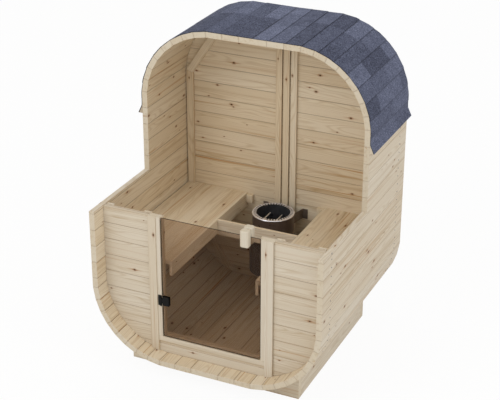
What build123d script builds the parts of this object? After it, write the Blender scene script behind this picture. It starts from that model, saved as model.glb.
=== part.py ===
from build123d import *
import math
import os

# Barrel sauna with its upper front left open, in millimetres.
# +X is to the right, the door faces -Y, +Z is up, and the ground is at Z = 0.

# Staves of the rounded-square shell
shell_length = 1440.0
upper_shell_length = 713.0
stave_width = 115.0
stave_thickness = 38.0
middle_stave_width = 194.0
filler_stave_width = 71.0
corner_stave_width = 90.7
corner_stave_count = 8
flat_stave_pairs = 2
side_stave_count = 9
seam_gap = 0.6
stave_edge_chamfer = 2.0
shell_lift = 85.0
cut_height = 1105.0

# Fits shared by all pieces
fit_gap = 0.3
door_clearance = 5.0

# Base under the shell
base_width = 1200.0
base_setback = 142.0
base_board_thickness = 45.0

# Roof covering and its drip battens
covering_thickness = 6.0
drip_top = 1565.0
drip_height = 58.0
drip_reach = 26.0

# End walls
wall_recess = 111.0
wall_thickness = 38.0
batten_width = 52.0
batten_thickness = 18.0
batten_inset = 7.0
batten_side_top = 1642.0
batten_side_bottom = 581.0
batten_flat_half_width = 454.0
centre_batten_width = 44.0
centre_batten_gap = 11.0

# Door opening
post_width = 55.0
post_projection = 15.0
jamb_width = 28.5
jamb_projection = 9.0
stop_width = 11.0
stop_height = 18.0
stop_depth = 26.0
sill_height = 34.0
inner_casing_width = 52.0

# Glass door
glass_width = 689.0
glass_thickness = 8.0
glass_bottom = 249.0
glass_projection = 6.0
glass_corner_radius = 8.0
handle_width = 58.0
handle_depth = 50.0
handle_height = 110.0
handle_rise = 55.0
handle_corner_radius = 14.0
handle_end_ease = 4.0
handle_offset = 89.5

# Door hinge
hinge_height = 514.0
knuckle_radius = 6.0
pin_radius = 3.0
pin_clearance = 0.1
knuckle_gap = 0.3
door_knuckle_length = 36.0
frame_leaf_length = 74.0
frame_leaf_width = 20.0
frame_leaf_thickness = 4.0
door_leaf_length = 63.0
door_leaf_width = 46.0
door_leaf_thickness = 12.0
door_leaf_setback = 4.5
leaf_gap = 1.0
web_thickness = 6.0
clamp_thickness = 3.0

# Benches
bench_height = 789.0
bench_top_thickness = 28.0
bench_gap = 584.0
fascia_height = 105.0
fascia_thickness = 20.0
rail_clearance = 108.0
rail_thickness = 20.0
rail_height = 110.0
block_width = 48.0
block_height = 60.0
block_depth = 30.0
block_drop = 7.0

# Round heater, hung on the back wall
heater_clearance = 50.7
heater_rise = 1.0
heater_height = 432.0
jacket_radius = 144.0
jacket_wall = 3.0
casing_radius = 163.0
casing_height = 236.0
shoulder_height = 40.0
chamber_radius = 131.0
chamber_depth = 200.0
ring_radius = 147.0
ring_inner_radius = 127.0
ring_height = 4.0
ring_edge_ease = 1.5
tooth_count = 40
tooth_length = 10.0
tooth_width = 9.0
tooth_thickness = 3.0
element_radius = 6.0
element_sides = 12
element_offset = 44.0
element_half_span = 80.0
element_bend_radius = 36.0
element_drop = 40.0
bracket_thickness = 4.0
bracket_height = 72.0
bracket_drop = 43.0
bracket_foot = 130.0
bracket_ear_width = 38.0
bracket_angle = 44.0

# Places worked out from the sizes above
front_rim = -shell_length / 2
rear_rim = shell_length / 2
upper_front = rear_rim - upper_shell_length
corner_turn = 90.0 / (corner_stave_count + 1)
flat_width = middle_stave_width + 2 * flat_stave_pairs * stave_width
front_wall_face = front_rim + wall_recess
front_wall_back = front_wall_face + wall_thickness
back_wall_front = -front_wall_back
back_wall_back = -front_wall_face
glass_front = front_wall_face - glass_projection
glass_back = glass_front + glass_thickness
jamb_inner = glass_width / 2 + door_clearance
jamb_outer = jamb_inner + jamb_width
post_outer = jamb_outer + post_width
jamb_front = front_wall_face - jamb_projection
sill_top = glass_bottom - door_clearance
sill_bottom = sill_top - sill_height
stop_front = front_wall_back - stop_depth
hinge_x = -jamb_inner - knuckle_radius / 2
hinge_y = jamb_front - knuckle_radius - fit_gap
bench_edge = bench_gap / 2
back_batten = back_wall_front - fit_gap - batten_thickness
heater_y = back_batten - heater_clearance - jacket_radius
rail_y = heater_y - ring_radius - rail_clearance - rail_thickness
ring_top = bench_height + heater_rise
ring_bottom = ring_top - ring_height
heater_bottom = ring_bottom - heater_height
chamber_floor = ring_bottom - chamber_depth


def seam_walk():
    """Outer edge of each stave, as group, corner point, heading, width and the bevels at its two seams."""
    flat = [stave_width] * flat_stave_pairs + [middle_stave_width] + [stave_width] * flat_stave_pairs
    corner = [corner_stave_width] * corner_stave_count
    side = [filler_stave_width] + [stave_width] * side_stave_count
    runs = []
    for quarter, widths, names in (
        (0, flat, ("floor", "lower_right")),
        (1, side, ("right_side", "upper_right")),
        (2, flat, ("roof", "upper_left")),
        (3, side[::-1], ("left_side", "lower_left")),
    ):
        straight = 90.0 * quarter
        runs += [(names[0], straight, width) for width in widths]
        runs += [(names[1], straight + corner_turn * (i + 1), width) for i, width in enumerate(corner)]
    point = Vector(-flat_width / 2, shell_lift)
    walk = []
    for index, (group, heading, width) in enumerate(runs):
        turn_in = (heading - runs[index - 1][1]) % 360
        turn_out = (runs[(index + 1) % len(runs)][1] - heading) % 360
        walk.append((group, point, heading, width, turn_in / 2, turn_out / 2))
        point = point + Vector(width, 0).rotate(Axis.Z, heading)
    return walk


staves = seam_walk()


def lean(angle, depth):
    """How far a bevelled seam leans over at a depth."""
    return depth * math.tan(math.radians(angle))


def on_stave(stave, along, depth):
    """A point of the cross-section, by its place along the stave's outer face and its depth below it."""
    corner, heading = stave[1], stave[2]
    spot = corner + Vector(along, depth).rotate(Axis.Z, heading)
    return (spot.X, spot.Y)


def shell_outline(depth):
    """The corners of the shell's section at a depth below its outer faces, flat seams left out."""
    return [on_stave(stave, lean(stave[4], depth), depth) for stave in staves if stave[4] > 0]


def prism(points, front, back):
    """A solid with an outline in the XZ plane, between two Y places."""
    outline = Plane.XZ.offset(-front) * Polygon(*points, align=None)
    return extrude(outline, amount=back - front, dir=(0, 1, 0))


def block(x_low, x_high, y_low, y_high, z_low, z_high):
    """A plain board between its limits."""
    size = (x_high - x_low, y_high - y_low, z_high - z_low)
    return Pos(x_low, y_low, z_low) * Box(*size, align=(Align.MIN, Align.MIN, Align.MIN))


def both_sides(solid):
    """A piece and its mirror image across the middle of the sauna."""
    return [solid, mirror(solid, about=Plane.YZ)]


def save(name, *solids):
    """Write one node, with its solids side by side."""
    pieces = [piece for solid in solids for piece in solid.solids()]
    export_step(pieces[0] if len(pieces) == 1 else Compound(children=pieces), f"parts/{name}.step")


def stave_solid(stave, front, back, start=0.0, stop=None):
    """One stave with bevelled seams and eased edges, or a ripped strip of it."""
    width, bevel_in, bevel_out = stave[3:6]
    stop = width if stop is None else stop
    bevel_in = 0.0 if start > 0 else bevel_in
    bevel_out = 0.0 if stop < width else bevel_out
    low, high = start + seam_gap / 2, stop - seam_gap / 2
    ease, deep = stave_edge_chamfer, stave_thickness - stave_edge_chamfer
    section = [
        (low + ease, 0),
        (high - ease, 0),
        (high - lean(bevel_out, ease), ease),
        (high - lean(bevel_out, deep), deep),
        (high - lean(bevel_out, stave_thickness) - ease, stave_thickness),
        (low + lean(bevel_in, stave_thickness) + ease, stave_thickness),
        (low + lean(bevel_in, deep), deep),
        (low + lean(bevel_in, ease), ease),
    ]
    return prism([on_stave(stave, along, depth) for along, depth in section], front, back)


def stave_group(group, front, back):
    """All staves of one flat or corner of the shell."""
    return [stave_solid(stave, front, back) for stave in staves if stave[0] == group]


def side_groups(group):
    """The staves of one side: the full-length ones under the cut, and those of the upper shell."""
    low, high = [], []
    for stave in staves:
        if stave[0] != group:
            continue
        ends = sorted((stave[1].Y, on_stave(stave, stave[3], 0)[1]))
        if ends[1] <= cut_height:
            low.append(stave_solid(stave, front_rim, rear_rim))
            continue
        high.append(stave_solid(stave, upper_front, rear_rim))
        if ends[0] < cut_height:
            kept = cut_height - ends[0]
            span = (0.0, kept) if stave[1].Y < cut_height else (stave[3] - kept, stave[3])
            low.append(stave_solid(stave, front_rim, upper_front - fit_gap, *span))
    return low, high


def offset_path(points, distance):
    """The same open path moved sideways, with mitred corners."""
    normals = []
    for (x0, z0), (x1, z1) in zip(points, points[1:]):
        run = math.hypot(x1 - x0, z1 - z0)
        normals.append(Vector((z1 - z0) / run, (x0 - x1) / run))
    moved = []
    for index, (x, z) in enumerate(points):
        before = normals[max(index - 1, 0)]
        after = normals[min(index, len(normals) - 1)]
        mitre = (before + after) / (1 + before.dot(after))
        moved.append((x + mitre.X * distance, z + mitre.Y * distance))
    return moved


def roof_covering():
    """The bent sheet over the upper shell, flared out over the drip battens."""
    top = [point for point in shell_outline(-fit_gap) if point[1] > drip_top]
    right = [point for point in top if point[0] > 0]
    edge = max(point[0] for point in right)
    drip = [(edge + drip_reach, drip_top - drip_height), (edge, drip_top)]
    half = drip + sorted(right, key=lambda point: point[1])
    path = half + [(-x, z) for x, z in reversed(half)]
    return prism(path + offset_path(path, covering_thickness)[::-1], upper_front, rear_rim)


def drip_batten():
    """The right-hand wedge that carries the flared edge of the covering."""
    face = max(point[0] for point in shell_outline(-fit_gap))
    low = drip_top - drip_height
    slope = (drip_top - low) / drip_reach
    top = drip_top - fit_gap * slope
    return prism([(face, low), (face + drip_reach - fit_gap, low), (face, top)], upper_front, rear_rim)


def inside_shell(solid):
    """Trim a piece to the inner face of the shell."""
    return solid & prism(shell_outline(stave_thickness + fit_gap), front_rim, rear_rim)


def outside_shell(solid):
    """Trim a piece to the outer face of the shell."""
    return solid - prism(shell_outline(-fit_gap), front_rim, rear_rim)


def widest(depth):
    """Half the width of the shell's section at a depth."""
    return max(x for x, z in shell_outline(depth))


def highest(depth):
    """The top of the shell's section at a depth."""
    return max(z for x, z in shell_outline(depth))


def lowest(depth):
    """The bottom of the shell's section at a depth."""
    return min(z for x, z in shell_outline(depth))


def cradle(front):
    """A cross board of the base, hollowed to the underside of the shell."""
    half = base_width / 2
    return outside_shell(block(-half, half, front, front + base_board_thickness, 0, cut_height))


def batten_ring(front):
    """The frame of mitred battens that follows the shell round an end wall, from the floor rail round."""
    inset = stave_thickness + batten_inset
    side, half = widest(inset), batten_flat_half_width
    right = [
        (half, lowest(inset)),
        (side, batten_side_bottom),
        (side, batten_side_top),
        (half, highest(inset)),
    ]
    ring = right + [(-x, z) for x, z in reversed(right)]
    inner = offset_path(ring[-1:] + ring + ring[:1], -batten_width)[1:-1]
    pieces = []
    for index, (x0, z0) in enumerate(ring):
        follow = (index + 1) % len(ring)
        x1, z1 = ring[follow]
        along = Vector(x1 - x0, z1 - z0).normalized() * fit_gap
        start = [(x + along.X, z + along.Y) for x, z in (inner[index], ring[index])]
        stop = [(x - along.X, z - along.Y) for x, z in (ring[follow], inner[follow])]
        pieces.append(inside_shell(prism(start + stop, front, front + batten_thickness)))
    return pieces


def tube_loop():
    """One heating element: a rod bent to an upside-down U across the heater."""
    foot = chamber_floor + jacket_wall + fit_gap
    crown = ring_top - element_drop
    path = FilletPolyline(
        (0, -element_half_span, foot),
        (0, -element_half_span, crown),
        (0, element_half_span, crown),
        (0, element_half_span, foot),
        radius=element_bend_radius,
    )
    section = RegularPolygon(element_radius, element_sides)
    return sweep(Plane(origin=path @ 0, z_dir=path % 0) * section, path=path)


def cup(radius, height):
    """A round pot of sheet metal, open at the top."""
    hollow = Cylinder(radius - jacket_wall, height, align=bottom_up)
    return Cylinder(radius, height, align=bottom_up) - Pos(0, 0, jacket_wall) * hollow


def heater_casing():
    """The heater's sheet body: a wide lower casing, a sloping shoulder and a narrower open neck."""
    outer = [
        (casing_radius, heater_bottom),
        (casing_radius, heater_bottom + casing_height),
        (jacket_radius, heater_bottom + casing_height + shoulder_height),
        (jacket_radius, ring_bottom),
    ]
    inner = [(radius - jacket_wall, height) for radius, height in outer[:0:-1]]
    floor = heater_bottom + jacket_wall
    profile = [(0, heater_bottom), *outer, *inner, (casing_radius - jacket_wall, floor), (0, floor)]
    return revolve(Plane.XZ * Polygon(*profile, align=None), Axis.Z)


def bracket_arm():
    """The right-hand strip that runs from the heater's jacket to the wall and turns out to an ear there."""
    seat = jacket_radius + fit_gap
    turn = math.radians(bracket_angle)
    wall = back_wall_front - fit_gap
    inner = [
        (seat * math.cos(turn), heater_y + seat * math.sin(turn)),
        (bracket_foot, wall),
        (bracket_foot + bracket_ear_width, wall),
    ]
    strip = Polygon(*inner, *offset_path(inner, bracket_thickness)[::-1], align=None)
    low = ring_top - bracket_drop - bracket_height
    return Pos(0, 0, low) * extrude(strip, amount=bracket_height, dir=(0, 0, 1))


def knuckle(length, radius):
    """A round length on the hinge axis, about the middle of the hinge."""
    return Pos(hinge_x, hinge_y, hinge_height) * Cylinder(radius, length)


def frame_leaf():
    """The fixed hinge leaf on the jamb, with its two knuckles and the pin between them."""
    back = jamb_front - fit_gap
    low, high = hinge_height - frame_leaf_length / 2, hinge_height + frame_leaf_length / 2
    plate_edge = hinge_x - knuckle_radius - leaf_gap
    gap_half = door_knuckle_length / 2 + knuckle_gap
    leaf = block(hinge_x - frame_leaf_width, plate_edge, back - frame_leaf_thickness, back, low, high)
    for z_low, z_high in ((low, hinge_height - gap_half), (hinge_height + gap_half, high)):
        leaf += block(plate_edge, hinge_x, back - frame_leaf_thickness, back, z_low, z_high)
        leaf += Pos(hinge_x, hinge_y, z_low) * Cylinder(knuckle_radius, z_high - z_low, align=bottom_up)
    return leaf + knuckle(frame_leaf_length, pin_radius)


def door_leaf():
    """The moving hinge leaf on the glass, with the middle knuckle."""
    low, high = hinge_height - door_leaf_length / 2, hinge_height + door_leaf_length / 2
    edge = -glass_width / 2 + door_leaf_setback
    front = glass_front - door_leaf_thickness
    half = door_knuckle_length / 2
    leaf = block(edge, edge + door_leaf_width, front, glass_front, low, high)
    leaf += block(hinge_x, edge, front, front + web_thickness, hinge_height - half, hinge_height + half)
    leaf += knuckle(door_knuckle_length, knuckle_radius)
    return leaf - knuckle(frame_leaf_length, pin_radius + pin_clearance)


def handle(back):
    """A round-cornered wooden grip, standing off one face of the glass."""
    grip = extrude(RectangleRounded(handle_width, handle_depth, handle_corner_radius), handle_height)
    grip = chamfer(grip.faces().filter_by(Axis.Z).edges(), handle_end_ease)
    return Pos(glass_width / 2 - handle_offset, back, cut_height + handle_rise - handle_height) * grip


os.makedirs("parts", exist_ok=True)
bottom_up = (Align.CENTER, Align.CENTER, Align.MIN)

# Shell
for group, name in (
    ("floor", "floor_staves"),
    ("lower_right", "lower_right_corner"),
    ("lower_left", "lower_left_corner"),
):
    save(name, *stave_group(group, front_rim, rear_rim))
for group, name in (
    ("roof", "roof_staves"),
    ("upper_right", "upper_right_corner"),
    ("upper_left", "upper_left_corner"),
):
    save(name, *stave_group(group, upper_front, rear_rim))
for side in ("left", "right"):
    low_staves, high_staves = side_groups(f"{side}_side")
    save(f"{side}_side_lower", *low_staves)
    save(f"{side}_side_upper", *high_staves)
save("roof_covering", roof_covering())
save("drip_battens", *both_sides(drip_batten()))

# Base
base_end = shell_length / 2 - base_setback
save("front_cradle", cradle(-base_end))
save("rear_cradle", cradle(base_end - base_board_thickness))
runner_end = base_end - base_board_thickness - fit_gap
runner_inner = base_width / 2 - base_board_thickness
runner = outside_shell(block(runner_inner, base_width / 2, -runner_end, runner_end, 0, cut_height))
for name, solid in zip(("right_runner", "left_runner"), both_sides(runner)):
    save(name, solid)

# Front wall and door opening
shell_side = widest(0)
shell_top = highest(0)
panel = block(post_outer + fit_gap, shell_side, front_wall_face, front_wall_back, 0, cut_height)
for name, solid in zip(("front_wall_right", "front_wall_left"), both_sides(inside_shell(panel))):
    save(name, solid)
apron = block(-jamb_outer, jamb_outer, front_wall_face, front_wall_back, 0, sill_bottom - fit_gap)
save("front_wall_apron", inside_shell(apron))
post_front = front_wall_face - post_projection
post = block(jamb_outer + fit_gap, post_outer, post_front, front_wall_back, 0, cut_height)
save("door_posts", *both_sides(inside_shell(post)))
jamb_low = sill_top + fit_gap
jamb = block(jamb_inner, jamb_outer, jamb_front, front_wall_back, jamb_low, cut_height)
save("door_jambs", *both_sides(jamb))
save("door_sill", block(-jamb_outer, jamb_outer, jamb_front, front_wall_back, sill_bottom, sill_top))
stop_edge = jamb_inner - fit_gap
stop_high = jamb_low + stop_height
stop_base = block(-stop_edge, stop_edge, stop_front, front_wall_back, jamb_low, stop_high)
stop_inner = jamb_inner - stop_width
stop_side = block(stop_inner, stop_edge, stop_front, front_wall_back, stop_high + fit_gap, cut_height)
save("door_stops", stop_base, *both_sides(stop_side))

# Battens on the inner faces of the end walls
front_batten = front_wall_back + fit_gap
below_cut = block(-shell_side, shell_side, front_rim, rear_rim, 0, cut_height)
front_ring = [batten & below_cut for batten in batten_ring(front_batten)]
casing_edge = post_outer + inner_casing_width
casing_back = front_batten + batten_thickness
casing = block(post_outer, casing_edge, front_batten, casing_back, bench_height + fit_gap, cut_height)
save("front_wall_battens", *[batten for batten in front_ring if batten.solids()], *both_sides(casing))
back_panel = block(fit_gap / 2, shell_side, back_wall_front, back_wall_back, 0, shell_top)
for name, solid in zip(("back_wall_right", "back_wall_left"), both_sides(inside_shell(back_panel))):
    save(name, solid)
save("back_wall_battens", *batten_ring(back_batten))
ring_depth = stave_thickness + batten_inset + batten_width + fit_gap
centre_battens = []
for place in (-1, 0, 1):
    middle = place * (centre_batten_width + centre_batten_gap)
    left, right = middle - centre_batten_width / 2, middle + centre_batten_width / 2
    limits = (left, right, back_batten, back_batten + batten_thickness)
    centre_battens.append(block(*limits, lowest(ring_depth), highest(ring_depth)))
save("back_centre_battens", *centre_battens)

# Benches and the rail in front of the heater
bench_front = front_wall_back + fit_gap
bench_back = back_wall_front - fit_gap
bench_wall = widest(stave_thickness + fit_gap)
seat_edge = bench_edge + fascia_thickness + fit_gap
seat_low = bench_height - bench_top_thickness
seat = block(seat_edge, bench_wall, bench_front, bench_back, seat_low, bench_height)
notch_edge = widest(ring_depth)
notch_depth = batten_thickness + fit_gap
for notch_front, notch_back in (
    (bench_front, bench_front + notch_depth),
    (bench_back - notch_depth, bench_back),
):
    seat -= block(notch_edge, bench_wall, notch_front, notch_back, seat_low, bench_height)
fascia_low = bench_height - fascia_height
fascia = block(bench_edge, bench_edge + fascia_thickness, bench_front, bench_back, fascia_low, bench_height)
for name, solid in zip(("right_bench_seat", "left_bench_seat"), both_sides(seat)):
    save(name, solid)
for name, solid in zip(("right_bench_fascia", "left_bench_fascia"), both_sides(fascia)):
    save(name, solid)
rail_end = bench_edge - fit_gap
rail_low = bench_height - rail_height
rail = block(-rail_end, rail_end, rail_y, rail_y + rail_thickness, rail_low, bench_height)
save("heater_rail", rail)
block_high = bench_height - block_drop
block_low = block_high - block_height
block_front = bench_back - block_depth
corner_block = block(rail_end - block_width, rail_end, block_front, bench_back, block_low, block_high)
save("rail_corner_blocks", *both_sides(corner_block))

# Heater
heater = Pos(0, heater_y, 0)
save("heater_jacket", heater * heater_casing())
save("heater_chamber", heater * Pos(0, 0, chamber_floor) * cup(chamber_radius, chamber_depth))
ring = Cylinder(ring_radius, ring_height - fit_gap, align=bottom_up)
ring = chamfer(ring.edges().group_by(Axis.Z)[-1], ring_edge_ease)
ring -= Cylinder(ring_inner_radius, ring_height, align=bottom_up)
save("heater_ring", heater * Pos(0, 0, ring_bottom + fit_gap) * ring)
tooth_middle = ring_inner_radius - fit_gap - tooth_length / 2
tooth = Box(tooth_length, tooth_width, tooth_thickness)
tooth_level = Pos(0, 0, ring_top - tooth_thickness / 2)
teeth = [heater * tooth_level * place * tooth for place in PolarLocations(tooth_middle, tooth_count)]
save("heater_ring_teeth", *teeth)
elements = [heater * Pos(x, 0, 0) * tube_loop() for x in (-element_offset, element_offset)]
save("heating_elements", *elements)
save("heater_bracket", *both_sides(bracket_arm()))

# Door, which swings on the hinge axis
glass_height = cut_height - glass_bottom
pane = RectangleRounded(glass_width, glass_height, glass_corner_radius)
pane_middle = Plane.XZ.offset(-glass_front) * Pos(0, glass_bottom + glass_height / 2)
save("door_glass", extrude(pane_middle * pane, amount=glass_thickness, dir=(0, 1, 0)))
outer_handle = handle(glass_front - handle_depth / 2)
inner_handle = handle(glass_back + handle_depth / 2)
save("door_handles", outer_handle, inner_handle)
save("hinge_frame_leaf", frame_leaf())
save("hinge_door_leaf", door_leaf())
clamp_edge = -glass_width / 2 + door_leaf_setback
clamp_low, clamp_high = hinge_height - door_leaf_length / 2, hinge_height + door_leaf_length / 2
clamp_limits = (clamp_edge, clamp_edge + door_leaf_width, glass_back, glass_back + clamp_thickness)
save("hinge_clamp_plate", block(*clamp_limits, clamp_low, clamp_high))
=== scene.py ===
# %% [markdown]
# # A barrel sauna, cut open at the front
# The real object is a small wooden sauna: a shell of staves, two end walls, benches, a heater, a
# glass door and a shingle roof. Its upper front is cut away to show the inside. All of it could be
# modelled again here, but the packed solids already give each piece its place and size. So this
# lesson dresses them: boards with grain and knots, shingles, tinted glass and the heater's metals.
# Everything is in metres.

# %% Load the frame
import math
import random

import bmesh
import bpy
from mathutils import Matrix, Vector


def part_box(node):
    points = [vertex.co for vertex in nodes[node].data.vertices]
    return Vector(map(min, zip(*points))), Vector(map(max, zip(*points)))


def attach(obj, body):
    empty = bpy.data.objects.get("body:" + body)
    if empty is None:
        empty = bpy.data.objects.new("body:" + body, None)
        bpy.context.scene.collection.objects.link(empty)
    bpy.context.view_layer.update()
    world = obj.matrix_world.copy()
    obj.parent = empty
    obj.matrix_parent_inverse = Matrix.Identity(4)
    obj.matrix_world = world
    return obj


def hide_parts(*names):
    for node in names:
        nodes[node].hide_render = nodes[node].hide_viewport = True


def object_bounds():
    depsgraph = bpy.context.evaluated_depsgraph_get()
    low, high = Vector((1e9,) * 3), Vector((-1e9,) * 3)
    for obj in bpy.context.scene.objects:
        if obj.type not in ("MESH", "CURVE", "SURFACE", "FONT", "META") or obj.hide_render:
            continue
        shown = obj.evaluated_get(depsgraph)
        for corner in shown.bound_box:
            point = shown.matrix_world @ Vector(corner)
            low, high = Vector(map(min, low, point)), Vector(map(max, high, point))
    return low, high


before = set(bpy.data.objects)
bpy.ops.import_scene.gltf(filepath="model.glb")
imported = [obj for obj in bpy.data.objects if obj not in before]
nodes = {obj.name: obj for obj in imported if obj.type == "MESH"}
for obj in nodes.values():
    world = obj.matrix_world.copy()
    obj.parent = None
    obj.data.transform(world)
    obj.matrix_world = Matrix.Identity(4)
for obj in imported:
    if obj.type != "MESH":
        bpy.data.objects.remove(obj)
cad_low, cad_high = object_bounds()
print("nodes", len(nodes), "box", [round(v, 3) for v in cad_high - cad_low])

# %% [markdown]
# ## Shader maths in Python
# A material is a small sum over the surface: rings plus streaks, times a board's own tone.
# Wiring each node by hand hides that sum, so one class wraps a socket and lets us write it as
# an expression. Numbers use Math nodes. Colours and vectors use Mix and Vector Math nodes. A Mix
# node's sockets for colours share their names with others, so they go by number.

# %% A socket that can be added and multiplied
VECTOR_KINDS = ("VECTOR", "RGBA")
MIX_FACTOR, MIX_FIRST, MIX_SECOND, MIX_RESULT = 0, 6, 7, 2


class Wire:
    """A socket in a node tree. Sums and products of wires add the nodes that they need."""

    def __init__(self, tree, socket=None):
        self.tree = tree
        self.socket = socket

    def node(self, kind, settings=None, values=None, out=0):
        """Any node: its settings are set first, and then the values or links of its sockets."""
        made = self.tree.nodes.new(kind)
        for name, value in (settings or {}).items():
            if name == "stops":
                self.stops(made.color_ramp, value)
            else:
                setattr(made, name, value)
        for name, value in (values or {}).items():
            if isinstance(value, Wire):
                self.tree.links.new(value.socket, made.inputs[name])
            else:
                made.inputs[name].default_value = value
        return Wire(self.tree, made.outputs[out])

    @staticmethod
    def stops(ramp, places):
        """The places and colours of a colour ramp."""
        while len(ramp.elements) < len(places):
            ramp.elements.new(1.0)
        for element, (place, colour_there) in zip(ramp.elements, places):
            element.position = place
            element.color = colour_there

    def is_vector(self):
        return self.socket.type in VECTOR_KINDS

    def sum_node(self, operation, first, second):
        """A Math node for two numbers, or a Vector Math node where one of the two is a vector."""
        vector = any(isinstance(v, Wire) and v.is_vector() for v in (first, second))
        if not vector:
            return self.node("ShaderNodeMath", {"operation": operation}, {0: first, 1: second})
        pair = [(v, v, v) if isinstance(v, (int, float)) else v for v in (first, second)]
        return self.node("ShaderNodeVectorMath", {"operation": operation}, {0: pair[0], 1: pair[1]})

    def __add__(self, other):
        return self.sum_node("ADD", self, other)

    def __radd__(self, other):
        return self.sum_node("ADD", other, self)

    def __sub__(self, other):
        return self.sum_node("SUBTRACT", self, other)

    def __rsub__(self, other):
        return self.sum_node("SUBTRACT", other, self)

    def __mul__(self, other):
        return self.sum_node("MULTIPLY", self, other)

    def __rmul__(self, other):
        return self.sum_node("MULTIPLY", other, self)

    def __truediv__(self, other):
        return self.sum_node("DIVIDE", self, other)

    def __rtruediv__(self, other):
        return self.sum_node("DIVIDE", other, self)

    def __pow__(self, other):
        return self.sum_node("POWER", self, other)

    def __rpow__(self, other):
        return self.sum_node("POWER", other, self)

    def larger(self, other):
        return self.sum_node("MAXIMUM", self, other)

    def smaller(self, other):
        return self.sum_node("MINIMUM", self, other)

    def wave(self):
        """A wave between nought and one."""
        return self.node("ShaderNodeMath", {"operation": "SINE"}, {0: self}) * 0.5 + 0.5

    def part(self, index):
        """One of the three numbers in a vector."""
        return self.node("ShaderNodeSeparateXYZ", values={0: self}, out=index)

    def step(self, low, high):
        """Nought below low, one above high, and a smooth rise between them."""
        ends = {"Value": self, "From Min": low, "From Max": high}
        return self.node("ShaderNodeMapRange", {"interpolation_type": "SMOOTHSTEP"}, ends)

    def mix(self, first, second, blend="MIX"):
        """The first colour where this wire is nought and the second where it is one."""
        settings = {"data_type": "RGBA", "blend_type": blend}
        sockets = {MIX_FACTOR: self, MIX_FIRST: first, MIX_SECOND: second}
        return self.node("ShaderNodeMix", settings, sockets, out=MIX_RESULT)


print("reflected operators", [name for name in vars(Wire) if name.startswith("__r")])

# %% [markdown]
# ## Colours and blank materials
# We name a colour as a screen shows it, from 0 to 255, but shaders work with amounts of light. The
# linear values could be typed in, but nobody can read those, so one helper converts by the curve
# that screens use. A second helper makes a blank material. What is the same all over a surface is
# set on the shader's own socket, and only what varies comes in by a wire.

# %% Colour and material helpers
SCREEN_WHITE = 255
CURVE_KNEE = 0.04045
CURVE_SLOPE = 12.92
CURVE_OFFSET = 0.055
CURVE_POWER = 2.4


def light_of(share):
    """One channel of a screen colour as the amount of light that it stands for."""
    if share <= CURVE_KNEE:
        return share / CURVE_SLOPE
    return ((share + CURVE_OFFSET) / (1 + CURVE_OFFSET)) ** CURVE_POWER


def colour(red, green, blue):
    """A colour as a screen shows it, in the linear values that shaders use."""
    return (*(light_of(v / SCREEN_WHITE) for v in (red, green, blue)), 1.0)


def finish_of(name, **constants):
    """A new material, its starting wire and its shader, with constants on the shader's sockets."""
    material = bpy.data.materials.new(name)
    material.use_nodes = True
    shader = material.node_tree.nodes["Principled BSDF"]
    for socket, value in constants.items():
        shader.inputs[socket.replace("_", " ")].default_value = value
    return material, Wire(material.node_tree), shader


def feed(wire, node, socket):
    """A wire led into one of a node's sockets."""
    wire.tree.links.new(wire.socket, node.inputs[socket])


print("white is", colour(SCREEN_WHITE, SCREEN_WHITE, SCREEN_WHITE))

# %% [markdown]
# ## Knots
# A knot is where a branch left the trunk: a dark oval core, a brown halo, and a streak that trails
# along the grain. Knots could be let in as plugs of darker wood, but real ones are flush with the
# board, so stains are enough. Each board carries up to three knots, and the shader measures how far
# a point lies from each of them. The streak breaks up where the wood's own bands do.

# %% Knot masks and stains
KNOT_NAMES = ("knot_a", "knot_b", "knot_c")
LEAST_KNOT = 1e-5
CORE_STRETCH, STREAK_STRETCH = 0.62, 0.11
CORE_RIM, HALO_RIM, STREAK_RIM = (0.55, 1.05), (0.6, 2.6), (0.1, 1.5)
CORE_SHARE, HALO_SHARE, STREAK_SHARE = 0.95, 0.65, 0.8
CORE_BROWN = colour(60, 37, 24)
HALO_BROWN = colour(146, 98, 56)
STREAK_BROWN = colour(160, 110, 64)
BAND_BREAK = (0.3, 0.7)


def carried_vector(start, name):
    """Three numbers that the mesh carries."""
    return start.node("ShaderNodeAttribute", {"attribute_name": name}, out="Vector")


def knot_masks(start, along, across):
    """How much of a knot's core, of the brown round it and of its streak there is at a point."""
    masks = []
    for name in KNOT_NAMES:
        knot = carried_vector(start, name)
        size = knot.part(2).larger(LEAST_KNOT)
        side = (across - knot.part(1)) / size
        length = (along - knot.part(0)) / size
        near = ((length * CORE_STRETCH) ** 2 + side * side) ** 0.5
        far = ((length * STREAK_STRETCH) ** 2 + side * side) ** 0.5
        masks.append([1 - near.step(*CORE_RIM), 1 - near.step(*HALO_RIM), 1 - far.step(*STREAK_RIM)])
    return [a.larger(b).larger(c) for a, b, c in zip(*masks)]


def knotted(wood, masks, band):
    """Wood with its knots stained in, the core last."""
    core, halo, streak = masks
    wood = (streak * band.step(*BAND_BREAK) * STREAK_SHARE).mix(wood, STREAK_BROWN)
    wood = (halo * HALO_SHARE).mix(wood, HALO_BROWN)
    return (core * CORE_SHARE).mix(wood, CORE_BROWN)


print("knots on a board, at most", len(KNOT_NAMES))

# %% [markdown]
# ## Year rings
# Spruce is pale and straight-grained, with a fine darker line where each year's growth ends. A
# picture of wood would repeat on every board, so the grain is worked out in space: rings round a
# heart line that runs along each board. They then show as lines on a face and as arcs on a cut
# end. Noise that is drawn out along the same line lets the rings wander.

# %% Rings and drawn-out noise
RING_PITCH = 0.0046
RING_WANDER = 0.05
RING_SWERVE = 0.006
DRIFT = ((1.3, 7.0, 7.0), 2.0)
NOISE_MIDDLE = 0.5


def noise(start, place, scale, detail):
    """Soft noise between nought and one."""
    values = {"Vector": place, "Scale": scale, "Detail": detail}
    return start.node("ShaderNodeTexNoise", values=values)


def streaks(start, grain, stretch, detail):
    """Noise that is drawn out along the grain."""
    return noise(start, grain * stretch, 1.0, detail)


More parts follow.
